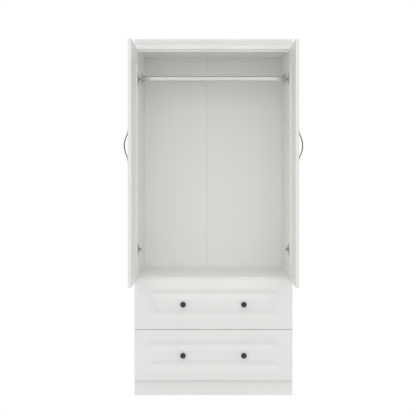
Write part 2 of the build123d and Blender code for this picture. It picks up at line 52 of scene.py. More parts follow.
body_of_node = {node: body for body, names in bodies.items() for node in names}
slot_of_node = {part["node"]: part["material_slot"] for part in frame["record"]["subparts"]}

MM = 0.001
SIDES = (("left", -1), ("right", 1))
DRAWERS = ("upper", "lower")

# ------------------------------------------------------------------ routed fronts
EDGE_ROUND = 1.5 * MM           # rounding round a door or drawer front
PATTERN_MARGIN = (60.5 * MM, 52 * MM)     # from the side edges and from the upper and lower edges
PATTERN_WIDTH = 50 * MM         # V groove from the frame to the field
PATTERN_DEPTH = 7 * MM
PATTERN_CORNER = 38 * MM        # upper corners of the outer line
FIELD_CORNER = 2.5 * MM
LIP = 0.9 * MM                  # softened break where a slope starts
VALLEY = 2.5 * MM               # softened bottom of the groove
CORNER_STEPS = 14
ROUND_STEPS = 6
SQUARE_CORNERS = [FIELD_CORNER * 0.2] * 4
BACK_ROUND = EDGE_ROUND * 0.35  # rounding of a front's back edge

# ------------------------------------------------------------------ inner faces of the doors
RECESS_MARGIN = (60 * MM, 76 * MM)        # from the side edges and from the upper and lower edges
RECESS_DEPTH = 4 * MM
RECESS_SLOPE = 2.8 * MM
BORE_RADIUS = 17.5 * MM         # of the hinge cups' bores
BORE_PLAY = 0.1 * MM
BORE_DEPTH = 11.6 * MM
BORE_SEGMENTS = 64
CUP_FLANGE = 1 * MM             # from the bore to the flange's edge on the side of the door's middle

# ------------------------------------------------------------------ rail
RAIL_CORNER = 7.4 * MM          # radius of the oval section
RAIL_WALL = 1 * MM
RAIL_ARRIS = 0.2 * MM
SOCKET_PLAY = 0.05 * MM         # between the rail and its sockets


# ------------------------------------------------------------------ materials
def new_material(name, colour, roughness, metallic=0.0, coat=0.0):
    """A Principled material, its node tree and its shader."""
    material = bpy.data.materials.new(name)
    material.use_nodes = True
    tree = material.node_tree
    shader = tree.nodes["Principled BSDF"]
    shader.inputs["Base Color"].default_value = (*colour, 1)
    shader.inputs["Roughness"].default_value = roughness
    shader.inputs["Metallic"].default_value = metallic
    shader.inputs["Coat Weight"].default_value = coat
    shader.inputs["Coat Roughness"].default_value = 0.25
    return material, tree, shader


def noise(tree, stretch, scale, detail, rough=0.55):
    """Noise over object coordinates, stretched per axis."""
    coordinates = tree.nodes.new("ShaderNodeTexCoord")
    mapping = tree.nodes.new("ShaderNodeMapping")
    mapping.inputs["Scale"].default_value = stretch
    texture = tree.nodes.new("ShaderNodeTexNoise")
    texture.inputs["Scale"].default_value = scale
    texture.inputs["Detail"].default_value = detail
    texture.inputs["Roughness"].default_value = rough
    tree.links.new(coordinates.outputs["Object"], mapping.inputs["Vector"])
    tree.links.new(mapping.outputs["Vector"], texture.inputs["Vector"])
    return texture.outputs["Fac"]


def ranged(tree, value, low, high):
    """A noise value, which mostly falls between 0.3 and 0.7, remapped to run from low to high."""
    node = tree.nodes.new("ShaderNodeMapRange")
    node.inputs["From Min"].default_value = 0.3
    node.inputs["From Max"].default_value = 0.7
    node.inputs["To Min"].default_value = low
    node.inputs["To Max"].default_value = high
    tree.links.new(value, node.inputs["Value"])
    return node.outputs["Result"]


def mixed(tree, factor, first, second):
    """Two colours mixed by a factor; the first may be another node's output."""
    node = tree.nodes.new("ShaderNodeMix")
    node.data_type = "RGBA"
    tree.links.new(factor, node.inputs["Factor"])
    for value, socket in ((first, node.inputs[6]), (second, node.inputs[7])):
        if isinstance(value, tuple):
            socket.default_value = (*value, 1)
        else:
            tree.links.new(value, socket)
    return node.outputs[2]


def bumped(tree, shader, height, depth, strength):
    """Feeds a height into the shader's normal."""
    node = tree.nodes.new("ShaderNodeBump")
    node.inputs["Distance"].default_value = depth
    node.inputs["Strength"].default_value = strength
    tree.links.new(height, node.inputs["Height"])
    tree.links.new(node.outputs["Normal"], shader.inputs["Normal"])


def tinted(colour, factor):
    """The colour with every channel scaled."""
    return tuple(channel * factor for channel in colour)


def foil(name, colour, grain_axis, sheen_low=0.40, sheen_high=0.52, contrast=0.02, pores=0.00012):
    """White foil with a faint printed wood grain, pore embossing and slight mottling."""
    material, tree, shader = new_material(name, colour, 0.45)
    along = [26.0, 26.0, 26.0]
    along[grain_axis] = 0.9
    fibre = [210.0, 210.0, 210.0]
    fibre[grain_axis] = 5.0
    grain = noise(tree, along, 1.0, 6.0, 0.6)
    pore = noise(tree, fibre, 1.0, 3.0, 0.6)
    mottle = noise(tree, (2.2, 2.2, 2.2), 1.0, 2.0)
    streaked = mixed(tree, ranged(tree, grain, 0.0, 1.0), tinted(colour, 1 - contrast), colour)
    worn = mixed(tree, ranged(tree, mottle, 0.0, 0.5), streaked, tinted(colour, 1 - 0.6 * contrast))
    tree.links.new(worn, shader.inputs["Base Color"])
    tree.links.new(ranged(tree, pore, sheen_low, sheen_high), shader.inputs["Roughness"])
    bumped(tree, shader, pore, pores, 0.6)
    return material


def coated(name, colour, rough_low, rough_high, scale, depth, contrast, coat=0.0):
    """Paint, powder coat or plastic: even colour, uneven sheen and a fine surface."""
    material, tree, shader = new_material(name, colour, rough_low, coat=coat)
    fine = noise(tree, (1, 1, 1), scale, 3.0)
    broad = noise(tree, (1, 1, 1), scale / 14, 3.0)
    tree.links.new(mixed(tree, ranged(tree, broad, 0.0, 1.0), tinted(colour, 1 - contrast), colour),
                   shader.inputs["Base Color"])
    tree.links.new(ranged(tree, fine, rough_low, rough_high), shader.inputs["Roughness"])
    bumped(tree, shader, fine, depth, 0.5)
    return material


def brushed(name, colour, rough_low, rough_high, stretch, depth):
    """Plated or brushed metal with fine lines across the given stretch."""
    material, tree, shader = new_material(name, colour, rough_low, 1.0)
    lines = noise(tree, stretch, 1.0, 5.0, 0.65)
    stains = noise(tree, (30, 30, 30), 1.0, 3.0)
    tree.links.new(mixed(tree, ranged(tree, stains, 0.0, 1.0), tinted(colour, 0.93), colour),
                   shader.inputs["Base Color"])
    tree.links.new(ranged(tree, lines, rough_low, rough_high), shader.inputs["Roughness"])
    bumped(tree, shader, lines, depth, 0.4)
    return material


WHITE = (0.925, 0.931, 0.900)
board_upright = foil("board_foil_upright", WHITE, 2)
board_across = foil("board_foil_across", WHITE, 0)
front_upright = foil("front_foil_upright", WHITE, 2, 0.34, 0.46)
front_across = foil("front_foil_across", WHITE, 0, 0.34, 0.46)
back_lacquer = foil("back_lacquer", (0.915, 0.921, 0.890), 2, 0.55, 0.7, 0.015, 0.00006)
strip_white = coated("strip_plastic", (0.885, 0.89, 0.86), 0.35, 0.45, 900, 0.00004, 0.02)
dark_lacquer = coated("dark_lacquer", (0.016, 0.0155, 0.016), 0.30, 0.44, 1500, 0.00004, 0.3)
knob_lacquer = coated("knob_lacquer", (0.018, 0.0175, 0.017), 0.28, 0.42, 1500, 0.00004, 0.3, 0.95)
rail_chrome = brushed("rail_chrome", (0.68, 0.695, 0.68), 0.07, 0.13, (4, 900, 900), 0.00001)
# the sockets' chrome is darker than the rail's: painted shade for the shadow the sockets sit in against the
# side panels
socket_chrome_painted_shade = brushed("socket_chrome_painted_shade", (0.44, 0.445, 0.44), 0.16, 0.26, (600, 600, 600), 0.00002)
hinge_nickel = brushed("hinge_nickel", (0.62, 0.61, 0.59), 0.22, 0.36, (900, 60, 900), 0.00002)
zinc = brushed("zinc_plate", (0.63, 0.63, 0.62), 0.28, 0.46, (600, 600, 600), 0.00003)
runner_coat = coated("runner_powder_coat", (0.80, 0.80, 0.78), 0.38, 0.5, 1800, 0.00008, 0.03)
nylon = coated("nylon", (0.83, 0.83, 0.81), 0.45, 0.6, 700, 0.00005, 0.04)
silicone = coated("silicone_bumper", (0.82, 0.82, 0.80), 0.25, 0.4, 500, 0.00004, 0.04)
slot_material = {
    "board": board_across,
    "fronts": front_across,
    "back_sheet": back_lacquer,
    "strip_plastic": strip_white,
    "dark_metal": dark_lacquer,
    "rail_chrome": rail_chrome,
    "hinge_steel": hinge_nickel,
    "runner_steel": runner_coat,
    "fastener_steel": zinc,
    "nylon": nylon,
    "bumper": silicone,
}
UPRIGHT_BOARDS = ("left_side_panel", "right_side_panel")


# ------------------------------------------------------------------ mesh helpers
def islands(node):
    """The low and high corners of each separate solid of a CAD node, with its vertices."""
    mesh = nodes[node].data
    place = [tuple(round(value, 6) for value in vertex.co) for vertex in mesh.vertices]
    parent = {spot: spot for spot in place}

    def root(spot):
        """The spot that stands for all spots joined to this one."""
        while parent[spot] != spot:
            parent[spot] = parent[parent[spot]]
            spot = parent[spot]
        return spot

    for face in mesh.polygons:
        first = root(place[face.vertices[0]])
        for index in face.vertices[1:]:
            parent[root(place[index])] = first
    groups = {}
    for spot in parent:
        groups.setdefault(root(spot), []).append(Vector(spot))
    found = []
    for spots in groups.values():
        low = Vector([min(spot[axis] for spot in spots) for axis in range(3)])
        high = Vector([max(spot[axis] for spot in spots) for axis in range(3)])
        found.append((low, high, spots))
    return sorted(found, key=lambda item: tuple(round(value, 4) for value in item[0]))


def add_piece(name, bm, material, replaced, crease):
    """Turns the mesh into a piece that stands for CAD nodes; edges sharper than the crease stay sharp."""
    bmesh.ops.recalc_face_normals(bm, faces=bm.faces)
    for face in bm.faces:
        face.smooth = True
    for edge in bm.edges:
        edge.smooth = len(edge.link_faces) == 2 and edge.calc_face_angle() < math.radians(crease)
    mesh = bpy.data.meshes.new(name)
    bm.to_mesh(mesh)
    bm.free()
    mesh.materials.append(material)
    piece = bpy.data.objects.new(name, mesh)
    bpy.context.collection.objects.link(piece)
    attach(piece, body_of_node[replaced[0]])
    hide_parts(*replaced)


def bridge(bm, first, second):
    """Quads between two closed loops with the same number of vertices."""
    count = len(first)
    for index in range(count):
        following = (index + 1) % count
        bm.faces.new((first[index], first[following], second[following], second[index]))


def loft(bm, loops, cap_first=True):
    """Skin over closed loops of points, with a flat end at the last and, if wanted, at the first."""
    rings = [[bm.verts.new(point) for point in loop] for loop in loops]
    for first, second in zip(rings, rings[1:]):
        bridge(bm, first, second)
    if cap_first:
        bm.faces.new(rings[0])
    bm.faces.new(rings[-1])
    return rings


def axes(direction):
    """Two unit vectors square to a direction along one of the main axes, and the direction itself."""
    direction = Vector(direction).normalized()
    helper = Vector((0, 0, 1)) if abs(direction.z) < 0.9 else Vector((0, 1, 0))
    across = direction.cross(helper).normalized()
    return across, direction.cross(across).normalized(), direction


def lathe(bm, profile, origin, direction, segments):
    """Turns (radius, distance) pairs about a direction; a radius of zero closes to a point."""
    across, up, along = axes(direction)
    rings = []
    for radius, distance in profile:
        middle = Vector(origin) + along * distance
        if radius < 1e-9:
            rings.append([bm.verts.new(middle)])
            continue
        rings.append([
            bm.verts.new(middle + (across * math.cos(turn) + up * math.sin(turn)) * radius)
            for turn in (2 * math.pi * step / segments for step in range(segments))
        ])
    for first, second in zip(rings, rings[1:]):
        if len(first) == 1 or len(second) == 1:
            tip, ring = (first[0], second) if len(first) == 1 else (second[0], first)
            for index in range(segments):
                bm.faces.new((tip, ring[index], ring[(index + 1) % segments]))
        else:
            bridge(bm, first, second)
    if len(rings[0]) > 1 and len(rings[-1]) > 1 and profile[0] == profile[-1]:
        bmesh.ops.remove_doubles(bm, verts=rings[0] + rings[-1], dist=1e-7)


def arc(middle, radius, start, end, steps):
    """Points of an arc, angles in degrees."""
    return [
        (middle[0] + radius * math.cos(turn), middle[1] + radius * math.sin(turn))
        for turn in (math.radians(start + (end - start) * step / steps) for step in range(steps + 1))
    ]


def through(first, middle, last, steps):
    """Points of a smooth curve through three points, from the first to the last."""
    first, middle, last = Vector(first), Vector(middle), Vector(last)
    control = 2 * middle - (first + last) / 2
    return [
        tuple(first * (1 - t) ** 2 + control * 2 * t * (1 - t) + last * t ** 2)
        for t in (step / steps for step in range(steps + 1))
    ]


def rounded_outline(low, high, radii, steps=CORNER_STEPS):
    """A rectangle with its own radius in each corner: lower left, lower right, upper right, upper left."""
    corners = (
        (low[0], low[1], 180, radii[0]), (high[0], low[1], 270, radii[1]),
        (high[0], high[1], 0, radii[2]), (low[0], high[1], 90, radii[3]),
    )
    outline = []
    for x, y, start, radius in corners:
        inward = (x + radius if x == low[0] else x - radius, y + radius if y == low[1] else y - radius)
        outline += arc(inward, radius, start, start + 90, steps)
    return outline


def square_outline(low, high, inset):
    """The outline of a front moved inwards, with barely rounded corners."""
    return rounded_outline(
        (low[0] + inset, low[1] + inset), (high[0] - inset, high[1] - inset), SQUARE_CORNERS)


def inset_outline(low, high, inset, radii):
    """The rounded outline moved inwards, its radii shrinking with it down to the field's."""
    return rounded_outline(
        (low[0] + inset, low[1] + inset), (high[0] - inset, high[1] - inset),
        [max(radius - inset, FIELD_CORNER) for radius in radii],
    )


# ------------------------------------------------------------------ doors and drawer fronts
def groove_section():
    """(inset, depth) pairs across the V groove, with softened breaks."""
    half = PATTERN_WIDTH / 2
    slope = PATTERN_DEPTH / (half - VALLEY / 2)
    valley_start = half - VALLEY
    valley_depth = valley_start * slope
    lip_fall = LIP * slope
    valley_fall = VALLEY * slope
    section = [(-LIP, 0.0), (-LIP / 3, lip_fall * 0.1), (LIP / 3, lip_fall * 0.45), (LIP, lip_fall)]
    section += [(valley_start, valley_depth), (half - VALLEY / 2, valley_depth + valley_fall * 0.36)]
    section += [(half, valley_depth + valley_fall * 0.48)]
    return section + [(PATTERN_WIDTH - inset, depth) for inset, depth in reversed(section[:-1])]


def routed_face(bm, place, low, high):
    """The outer face with its rounded edge and routed pattern; returns the loop behind the rounding."""
    loops = []
    for step in range(ROUND_STEPS + 1):
        turn = math.pi / 2 * step / ROUND_STEPS
        inset = EDGE_ROUND * (1 - math.cos(turn))
        depth = EDGE_ROUND * (1 - math.sin(turn))
        loops.append([place(u, v, -depth) for u, v in square_outline(low, high, inset)])
    outer_low = (low[0] + PATTERN_MARGIN[0], low[1] + PATTERN_MARGIN[1])
    outer_high = (high[0] - PATTERN_MARGIN[0], high[1] - PATTERN_MARGIN[1])
    radii = (FIELD_CORNER, FIELD_CORNER, PATTERN_CORNER, PATTERN_CORNER)
    for inset, depth in groove_section():
        loops.append([place(u, v, -depth) for u, v in inset_outline(outer_low, outer_high, inset, radii)])
    return loft(bm, loops, cap_first=False)[0]


def back_edge(bm, place, low, high, thick, front_loop):
    """The narrow sides from the loop behind the outer face to the back; returns the loop round the back."""
    previous = front_loop
    chamfer = BACK_ROUND * 0.3
    for inset, depth in ((0, thick - BACK_ROUND), (chamfer, thick - chamfer), (BACK_ROUND, thick)):
        ring = [bm.verts.new(place(u, v, -depth)) for u, v in square_outline(low, high, inset)]
        bridge(bm, previous, ring)
        previous = ring
    return previous


def ring_between(bm, place, outer, holes, depth):
    """A flat face with holes in it; outer is a loop of vertices, holes are outlines in the face's plane."""
    hole_rings = [[bm.verts.new(place(u, v, depth)) for u, v in hole] for hole in holes]
    everything = outer + [vertex for ring in hole_rings for vertex in ring]
    for triangle in tessellate_polygon([[vertex.co for vertex in outer]]
                                       + [[vertex.co for vertex in ring] for ring in hole_rings]):
        bm.faces.new([everything[index] for index in triangle])
    return hole_rings


def door(side, sign):
    """A door: routed outer face, recessed inner face and drilled hinge cups."""
    low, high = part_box(f"{side}_door_panel")
    outer_x, inner_x = (high.x, low.x) if sign > 0 else (low.x, high.x)
    thick = abs(outer_x - inner_x)

    def place(u, v, w):
        """A point u along the door, v up and w outwards from its outer face."""
        return Vector((outer_x + sign * w, u, v))

    bm = bmesh.new()
    flat_low, flat_high = (low.y, low.z), (high.y, high.z)
    front_loop = routed_face(bm, place, flat_low, flat_high)
    back_loop = back_edge(bm, place, flat_low, flat_high, thick, front_loop)
    recess_low = (low.y + RECESS_MARGIN[0], low.z + RECESS_MARGIN[1])
    recess_high = (high.y - RECESS_MARGIN[0], high.z - RECESS_MARGIN[1])
    holes = [rounded_outline(recess_low, recess_high, [FIELD_CORNER] * 4)]
    for cup_low, cup_high, _ in islands(f"{side}_hinge_cups"):
        bore_middle = (cup_high.y - BORE_RADIUS - CUP_FLANGE, (cup_low.z + cup_high.z) / 2)
        holes.append(arc(bore_middle, BORE_RADIUS + BORE_PLAY, 0, 360, BORE_SEGMENTS)[:-1])
    hole_rings = ring_between(bm, place, back_loop, holes, -thick)
    previous = hole_rings[0]
    for share, depth in ((0.12, 0.03), (0.88, 0.97), (1.0, 1.0)):
        inset = RECESS_SLOPE * share
        outline = inset_outline(recess_low, recess_high, inset, [FIELD_CORNER] * 4)
        ring = [bm.verts.new(place(u, v, RECESS_DEPTH * depth - thick)) for u, v in outline]
        bridge(bm, previous, ring)
        previous = ring
    bm.faces.new(previous)
    for ring in hole_rings[1:]:
        bottom = [bm.verts.new(vertex.co + Vector((sign * BORE_DEPTH, 0, 0))) for vertex in ring]
        bridge(bm, ring, bottom)
        bm.faces.new(bottom)
    add_piece(f"{side}_door_leaf", bm, front_upright, [f"{side}_door_panel"], 30)


def drawer_face(drawer):
    """A drawer front with its routed face and, in its back, the slot for the drawer's bottom."""
    node = f"{drawer}_drawer_front"
    low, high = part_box(node)

    def place(u, v, w):
        """A point u across the front, v up and w outwards from its face."""
        return Vector((u, low.y - w, v))

    bm = bmesh.new()
    thick = high.y - low.y
    flat_low, flat_high = (low.x, low.z), (high.x, high.z)
    front_loop = routed_face(bm, place, flat_low, flat_high)
    back_loop = back_edge(bm, place, flat_low, flat_high, thick, front_loop)
    base_low, base_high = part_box(f"{drawer}_drawer_bottom")
    left, right, under, over = base_low.x, base_high.x, base_low.z, base_high.z
    slot = [(left, under), (right, under), (right, over), (left, over)]
    slot_ring = ring_between(bm, place, back_loop, [slot], -thick)[0]
    slot_end = [bm.verts.new(vertex.co - Vector((0, high.y - base_low.y, 0))) for vertex in slot_ring]
    bridge(bm, slot_ring, slot_end)
    bm.faces.new(slot_end)
    add_piece(f"{drawer}_front_board", bm, front_across, [node], 30)


# ------------------------------------------------------------------ cornice
def cornice():
    """The moulding across the top: band, cove, bead, small cove and fillet."""
    low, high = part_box("cornice")
    face = high.y                       # carcass front plane
    band = face - 18 * MM               # front of the flat band
    bead = face - 24.2 * MM             # front of the bead between the coves
    top = high.z
    section = [(face, low.z)]
    section += arc((band + 1.2 * MM, low.z + 1.2 * MM), 1.2 * MM, 270, 180, 5)
    section += through(
        (band, top - 31 * MM),
        (band - 1.7 * MM, top - 24.6 * MM),
        (bead + 0.2 * MM, top - 21.8 * MM), 10)
    section += arc((bead + 0.6 * MM, top - 21.0 * MM), 0.6 * MM, 215, 180, 2)[1:]
    section += arc((bead + 1.0 * MM, top - 16.6 * MM), 1.0 * MM, 180, 120, 4)
    section += through(
        (bead + 0.2 * MM, top - 15.2 * MM),
        (bead - 1.0 * MM, top - 12.4 * MM),
        (low.y + 0.3 * MM, top - 10.9 * MM), 8)
    section += arc((low.y + 0.8 * MM, top - 10.0 * MM), 0.8 * MM, 220, 180, 3)
    section += arc((low.y + 1.6 * MM, top - 1.6 * MM), 1.6 * MM, 180, 90, 6)
    section += [(face, top)]
    bm = bmesh.new()
    inset = 0.5 * MM                    # broken edges of the sawn ends
    middle = Vector((sum(y for y, z in section) / len(section), sum(z for y, z in section) / len(section)))
    tight = 1 - 2 * inset / (high.z - low.z)
    loops = []
    for x, share in ((low.x, tight), (low.x + inset, 1.0), (high.x - inset, 1.0), (high.x, tight)):
        shrunk = [middle + (Vector(point) - middle) * share for point in section]
        loops.append([Vector((x, y, z)) for y, z in shrunk])
    loft(bm, loops)
    add_piece("cornice_moulding", bm, front_across, ["cornice"], 32)


# ------------------------------------------------------------------ handles and knobs
def bow_handle(side, sign):
    """A slim strap that lies on the door at its feet and bows out between them."""
    node = f"{side}_handle"
    low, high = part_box(node)
    face = low.x if sign > 0 else high.x
    y, z = (low.y + high.y) / 2, (low.z + high.z) / 2
    half = (high.z - low.z) / 2
    reach = high.x - low.x
    half_thick = 2.5 * MM
    half_wide = 4.4 * MM
    foot_lift = 2.8 * MM                # the strap's middle over the door, at its feet
    crown = reach - half_thick - foot_lift
    spring = 57 * MM                    # from the handle's middle to where the arch meets a foot
    blend = 1.6 * MM                    # how softly the arch runs into its feet
    taper = 0.16                        # towards its crown the strap grows narrower, towards its feet thinner
    tip = 0.07                          # size of the blunt ends, as a share of the strap's
    stations = 96
    facets = 28
    probe = 0.1 * MM                    # how far apart the slope of the arch is read, either way

    def lift(distance):
        """Height of the strap's middle over its feet: a shallow arch that runs softly into flat feet."""
        arch = crown * (1 - (distance / spring) ** 2)
        return (arch + math.hypot(arch, blend)) / 2

    bm = bmesh.new()
    loops = []
    for step in range(stations + 1):
        along = half * math.sin(math.pi / 2 * (2 * step / stations - 1))
        share = lift(along) / crown
        lean = math.atan((lift(along + probe) - lift(along - probe)) / (2 * probe))
        end = math.sqrt(max(0.0, 1 - (abs(along) / half) ** 40)) * (1 - tip) + tip
        width = half_wide * (1 - taper * share) * end
        height = half_thick * (1 - taper + taper * share) * end
        loop = []
        for turn in (2 * math.pi * index / facets for index in range(facets)):
            across, out = width * math.cos(turn), height * math.sin(turn)
            out = math.copysign(abs(out / height) ** 0.85 * height, out)
            loop.append(Vector((
                face + sign * (foot_lift + crown * share + out * math.cos(lean)),
                y + across,
                z + along - out * math.sin(lean),
            )))
        loops.append(loop)
    loft(bm, loops)
    for screw_low, screw_high, _ in islands(f"{side}_handle_screws"):
        level = (screw_low.z + screw_high.z) / 2
        top = foot_lift + lift(level - z)
        post = [(0, 0), (4.1 * MM, 0), (4.1 * MM, 0.8 * MM), (3.4 * MM, 1.5 * MM), (3.2 * MM, top), (0, top)]
        lathe(bm, post, (face, y, level), (sign, 0, 0), 40)
    add_piece(f"{side}_bow_handle", bm, dark_lacquer, [node], 40)


def turned_knobs(drawer):
    """Round knobs: a foot, a waisted neck, a soft head and, inside a fine groove, a domed button."""
    node = f"{drawer}_drawer_knobs"
    bm = bmesh.new()
    for low, high, _ in islands(node):
        length = high.y - low.y
        radius = (high.z - low.z) / 2
        profile = [(0, 0), (7.7 * MM, 0), (8 * MM, 0.3 * MM), (8 * MM, 1.3 * MM), (7.7 * MM, 1.7 * MM)]
        profile += through((7.2 * MM, 2.0 * MM), (5.7 * MM, 4.6 * MM), (5.5 * MM, 9 * MM), 8)
        profile += through((5.5 * MM, 9 * MM), (7.6 * MM, 13.2 * MM), (12.6 * MM, 15.4 * MM), 10)[1:]
        profile += through((12.6 * MM, 15.4 * MM), (radius, 18 * MM), (12.7 * MM, 20.7 * MM), 10)[1:]
        profile += through((12.7 * MM, 20.7 * MM), (10.6 * MM, 22.5 * MM), (8.3 * MM, 23.1 * MM), 8)[1:]
        profile += [(7.9 * MM, 22.7 * MM), (7.5 * MM, 22.5 * MM), (7.1 * MM, 22.75 * MM)]
        profile += through((6.9 * MM, 23.1 * MM), (4.2 * MM, length), (0, length), 8)
        lathe(bm, profile, ((low.x + high.x) / 2, high.y, (low.z + high.z) / 2), (0, -1, 0), 72)
    add_piece(f"{drawer}_turned_knobs", bm, knob_lacquer, [node], 40)


# ------------------------------------------------------------------ rail
def oval(half_y, half_z, corner):
    """Outline of a flat oval section about its middle."""
    return rounded_outline((-half_y, -half_z), (half_y, half_z), [min(corner, half_y - 0.02 * MM)] * 4, 16)


def rail():
    """A flat oval tube; its wall, seen at the ends, sits in the sockets."""
    low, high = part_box("hanging_rail")
    half_y, half_z = (high.y - low.y) / 2, (high.z - low.z) / 2
    y, z = (low.y + high.y) / 2, (low.z + high.z) / 2
    stations = [(low.x, RAIL_WALL), (low.x, RAIL_ARRIS), (low.x + RAIL_ARRIS, 0)]
    stations += [(high.x - RAIL_ARRIS, 0), (high.x, RAIL_ARRIS), (high.x, RAIL_WALL)]
    bm = bmesh.new()
    rings = []
    for x, inset in stations:
        outline = oval(half_y - inset, half_z - inset, RAIL_CORNER - inset)
        rings.append([bm.verts.new((x, y + u, z + v)) for u, v in outline])
    for first, second in zip(rings, rings[1:] + rings[:1]):
        bridge(bm, first, second)
    add_piece("rail_tube", bm, rail_chrome, ["hanging_rail"], 40)


def rail_socket(side, sign):
    """A flange with rounded corners, screwed to the side panel, and the oval collar that holds the rail."""
    node = f"{side}_rail_bracket"
    low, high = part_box(node)
    wall, mouth = (high.x, low.x) if sign > 0 else (low.x, high.x)
    y, z = (low.y + high.y) / 2, (low.z + high.z) / 2
    half_y, half_z = (high.y - low.y) / 2, (high.z - low.z) / 2
    flange = 3 * MM
    flange_corner = 8 * MM
    collar = 2 * MM                     # thickness of the collar
    sunk = 0.05 * MM                    # how far the collar runs into the flange
    bm = bmesh.new()
    loops = []
    rounding = ((0, 0), (0, 1.8 * MM), (0.25 * MM, 2.5 * MM), (0.8 * MM, 2.9 * MM), (1.4 * MM, flange))
    for inset, rise in rounding:
        outline = rounded_outline(
            (-half_y + inset, -half_z + inset), (half_y - inset, half_z - inset), [flange_corner - inset] * 4)
        loops.append([Vector((wall - sign * rise, y + u, z + v)) for u, v in outline])
    loft(bm, loops)
    rail_low, rail_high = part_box("hanging_rail")
    bore_y = (rail_high.y - rail_low.y) / 2 + SOCKET_PLAY
    bore_z = (rail_high.z - rail_low.z) / 2 + SOCKET_PLAY
    foot = flange - sunk
    end = abs(wall - mouth)
    section = [(0, foot), (collar + 0.9 * MM, foot)]
    section += [(collar + 0.25 * MM, foot + 0.5 * MM), (collar, foot + 1.2 * MM)]
    section += [(collar, end - 0.8 * MM), (collar - 0.25 * MM, end - 0.2 * MM), (collar - 0.8 * MM, end)]
    section += [(0.5 * MM, end), (0, end - 0.5 * MM)]
    rings = []
    for swell, rise in section:
        outline = oval(bore_y + swell, bore_z + swell, RAIL_CORNER + SOCKET_PLAY + swell)
        rings.append([bm.verts.new((wall - sign * rise, y + u, z + v)) for u, v in outline])
    for first, second in zip(rings, rings[1:] + rings[:1]):
        bridge(bm, first, second)
    # the sockets' darker chrome carries painted shade
    add_piece(f"{side}_rail_socket", bm, socket_chrome_painted_shade, [node], 40)


# ------------------------------------------------------------------ screws, rollers, bumpers
def cross_head(bm, origin, direction, radius, thick):
    """A pan head with a cross recess; the origin is under the head."""
    across, up, along = axes(direction)
    segments = 40
    rings = 14
    reach = radius * 0.56       # length of a recess arm
    arm = radius * 0.13         # half the width of an arm
    sink = thick * 0.75         # depth of the recess
    dome_end = 0.9              # share of the radius where the dome turns into the steep edge
    turns = [2 * math.pi * index / segments for index in range(segments)]
    loops = []
    for step in range(rings + 1):
        share = step / rings
        spot = radius * share
        dome = thick * (1 - 0.34 * share ** 2)
        crown = dome if share < dome_end else thick * (0.725 - (share - dome_end) * 4.2)
        loop = []
        for turn in turns:
            x, y = spot * math.cos(turn), spot * math.sin(turn)
            inside = max(0.0, min(1.0, (arm - min(abs(x), abs(y))) / (arm * 0.5) + 0.5))
            fade = max(0.0, min(1.0, (reach - spot) / (radius * 0.10)))
            height = crown - sink * inside * fade * (1 - 0.35 * spot / reach)
            loop.append(Vector(origin) + across * x + up * y + along * height)
        loops.append(loop)
    tip = bm.verts.new(loops[0][0])
    rows = [[bm.verts.new(point) for point in loop] for loop in loops[1:]]
    for index in range(segments):
        bm.faces.new((tip, rows[0][index], rows[0][(index + 1) % segments]))
    for first, second in zip(rows, rows[1:]):
        bridge(bm, first, second)
    outward = [across * math.cos(turn) + up * math.sin(turn) for turn in turns]
    rim = [bm.verts.new(Vector(origin) + spoke * radius * 0.985) for spoke in outward]
    bridge(bm, rows[-1], rim)
    bm.faces.new(rim)


def off_axis(spot, middle, others):
    """Distance of a vertex from a screw's axis, which runs through the middle."""
    return (Vector([spot[index] for index in others]) - Vector([middle[index] for index in others])).length


def screws(node, axis):
    """Every screw of a CAD node along one main axis: cross head, threaded shank and point."""
    bm = bmesh.new()
    for low, high, spots in islands(node):
        middle = (low + high) / 2
        others = [index for index in range(3) if index != axis]
        radius = max(high[others[0]] - low[others[0]], high[others[1]] - low[others[1]]) / 2
        wide = [spot[axis] for spot in spots if off_axis(spot, middle, others) > radius * 0.95]
        head_low, head_high = min(wide), max(wide)
        outward = 1 if abs(head_high - high[axis]) < abs(head_low - low[axis]) else -1
        seat = head_low if outward > 0 else head_high
        thick = head_high - head_low
        direction = [0, 0, 0]
        direction[axis] = outward
        origin = middle.copy()
        origin[axis] = seat
        cross_head(bm, origin, direction, radius, thick)
        tip = abs((low[axis] if outward > 0 else high[axis]) - seat)
        shank = min(off_axis(spot, middle, others) for spot in spots)
        if shank < 0.5 * MM:            # a vertex on the axis: the solid ends in a point
            shank = 1.75 * MM
        profile = [(0, 0.02 * MM), (shank, 0.02 * MM)]
        pitch = 1.1 * MM
        turns = max(3, int(tip / pitch))
        for turn in range(1, turns):
            place_along = tip * turn / turns
            taper = 1 if turn < turns - 2 else 0.75
            profile += [(shank * 0.72 * taper, place_along - 0.3 * MM), (shank * taper, place_along)]
        profile += [(shank * 0.4, tip - 0.35 * MM), (0, tip)]
        lathe(bm, profile, origin, [-value for value in direction], 20)
    add_piece(node + "_detailed", bm, zinc, [node], 40)


def rollers(node):
    """Nylon wheels with a hub and a rounded tread."""
    bm = bmesh.new()
    for low, high, _ in islands(node):
        width = high.x - low.x
        radius = (high.z - low.z) / 2
        bore = 2.56 * MM
        hub = 4 * MM
        rim = 6.4 * MM                  # inner edge of the rim
        dish = 0.7 * MM                 # depth of the dish between hub and rim
        arris = 0.2 * MM
        half = [(bore, 0.0), (hub - arris, 0.0), (hub, arris), (hub, dish)]
        half += [(rim, dish), (rim, arris), (rim + arris, 0.0)]
        half += [(radius - 0.6 * MM, 0.0), (radius - 0.15 * MM, 0.25 * MM), (radius, 0.8 * MM)]
        profile = half + [(r, width - along) for r, along in reversed(half)] + [half[0]]
        lathe(bm, profile, (low.x, (low.y + high.y) / 2, (low.z + high.z) / 2), (1, 0, 0), 56)
    add_piece(node + "_turned", bm, nylon, [node], 35)


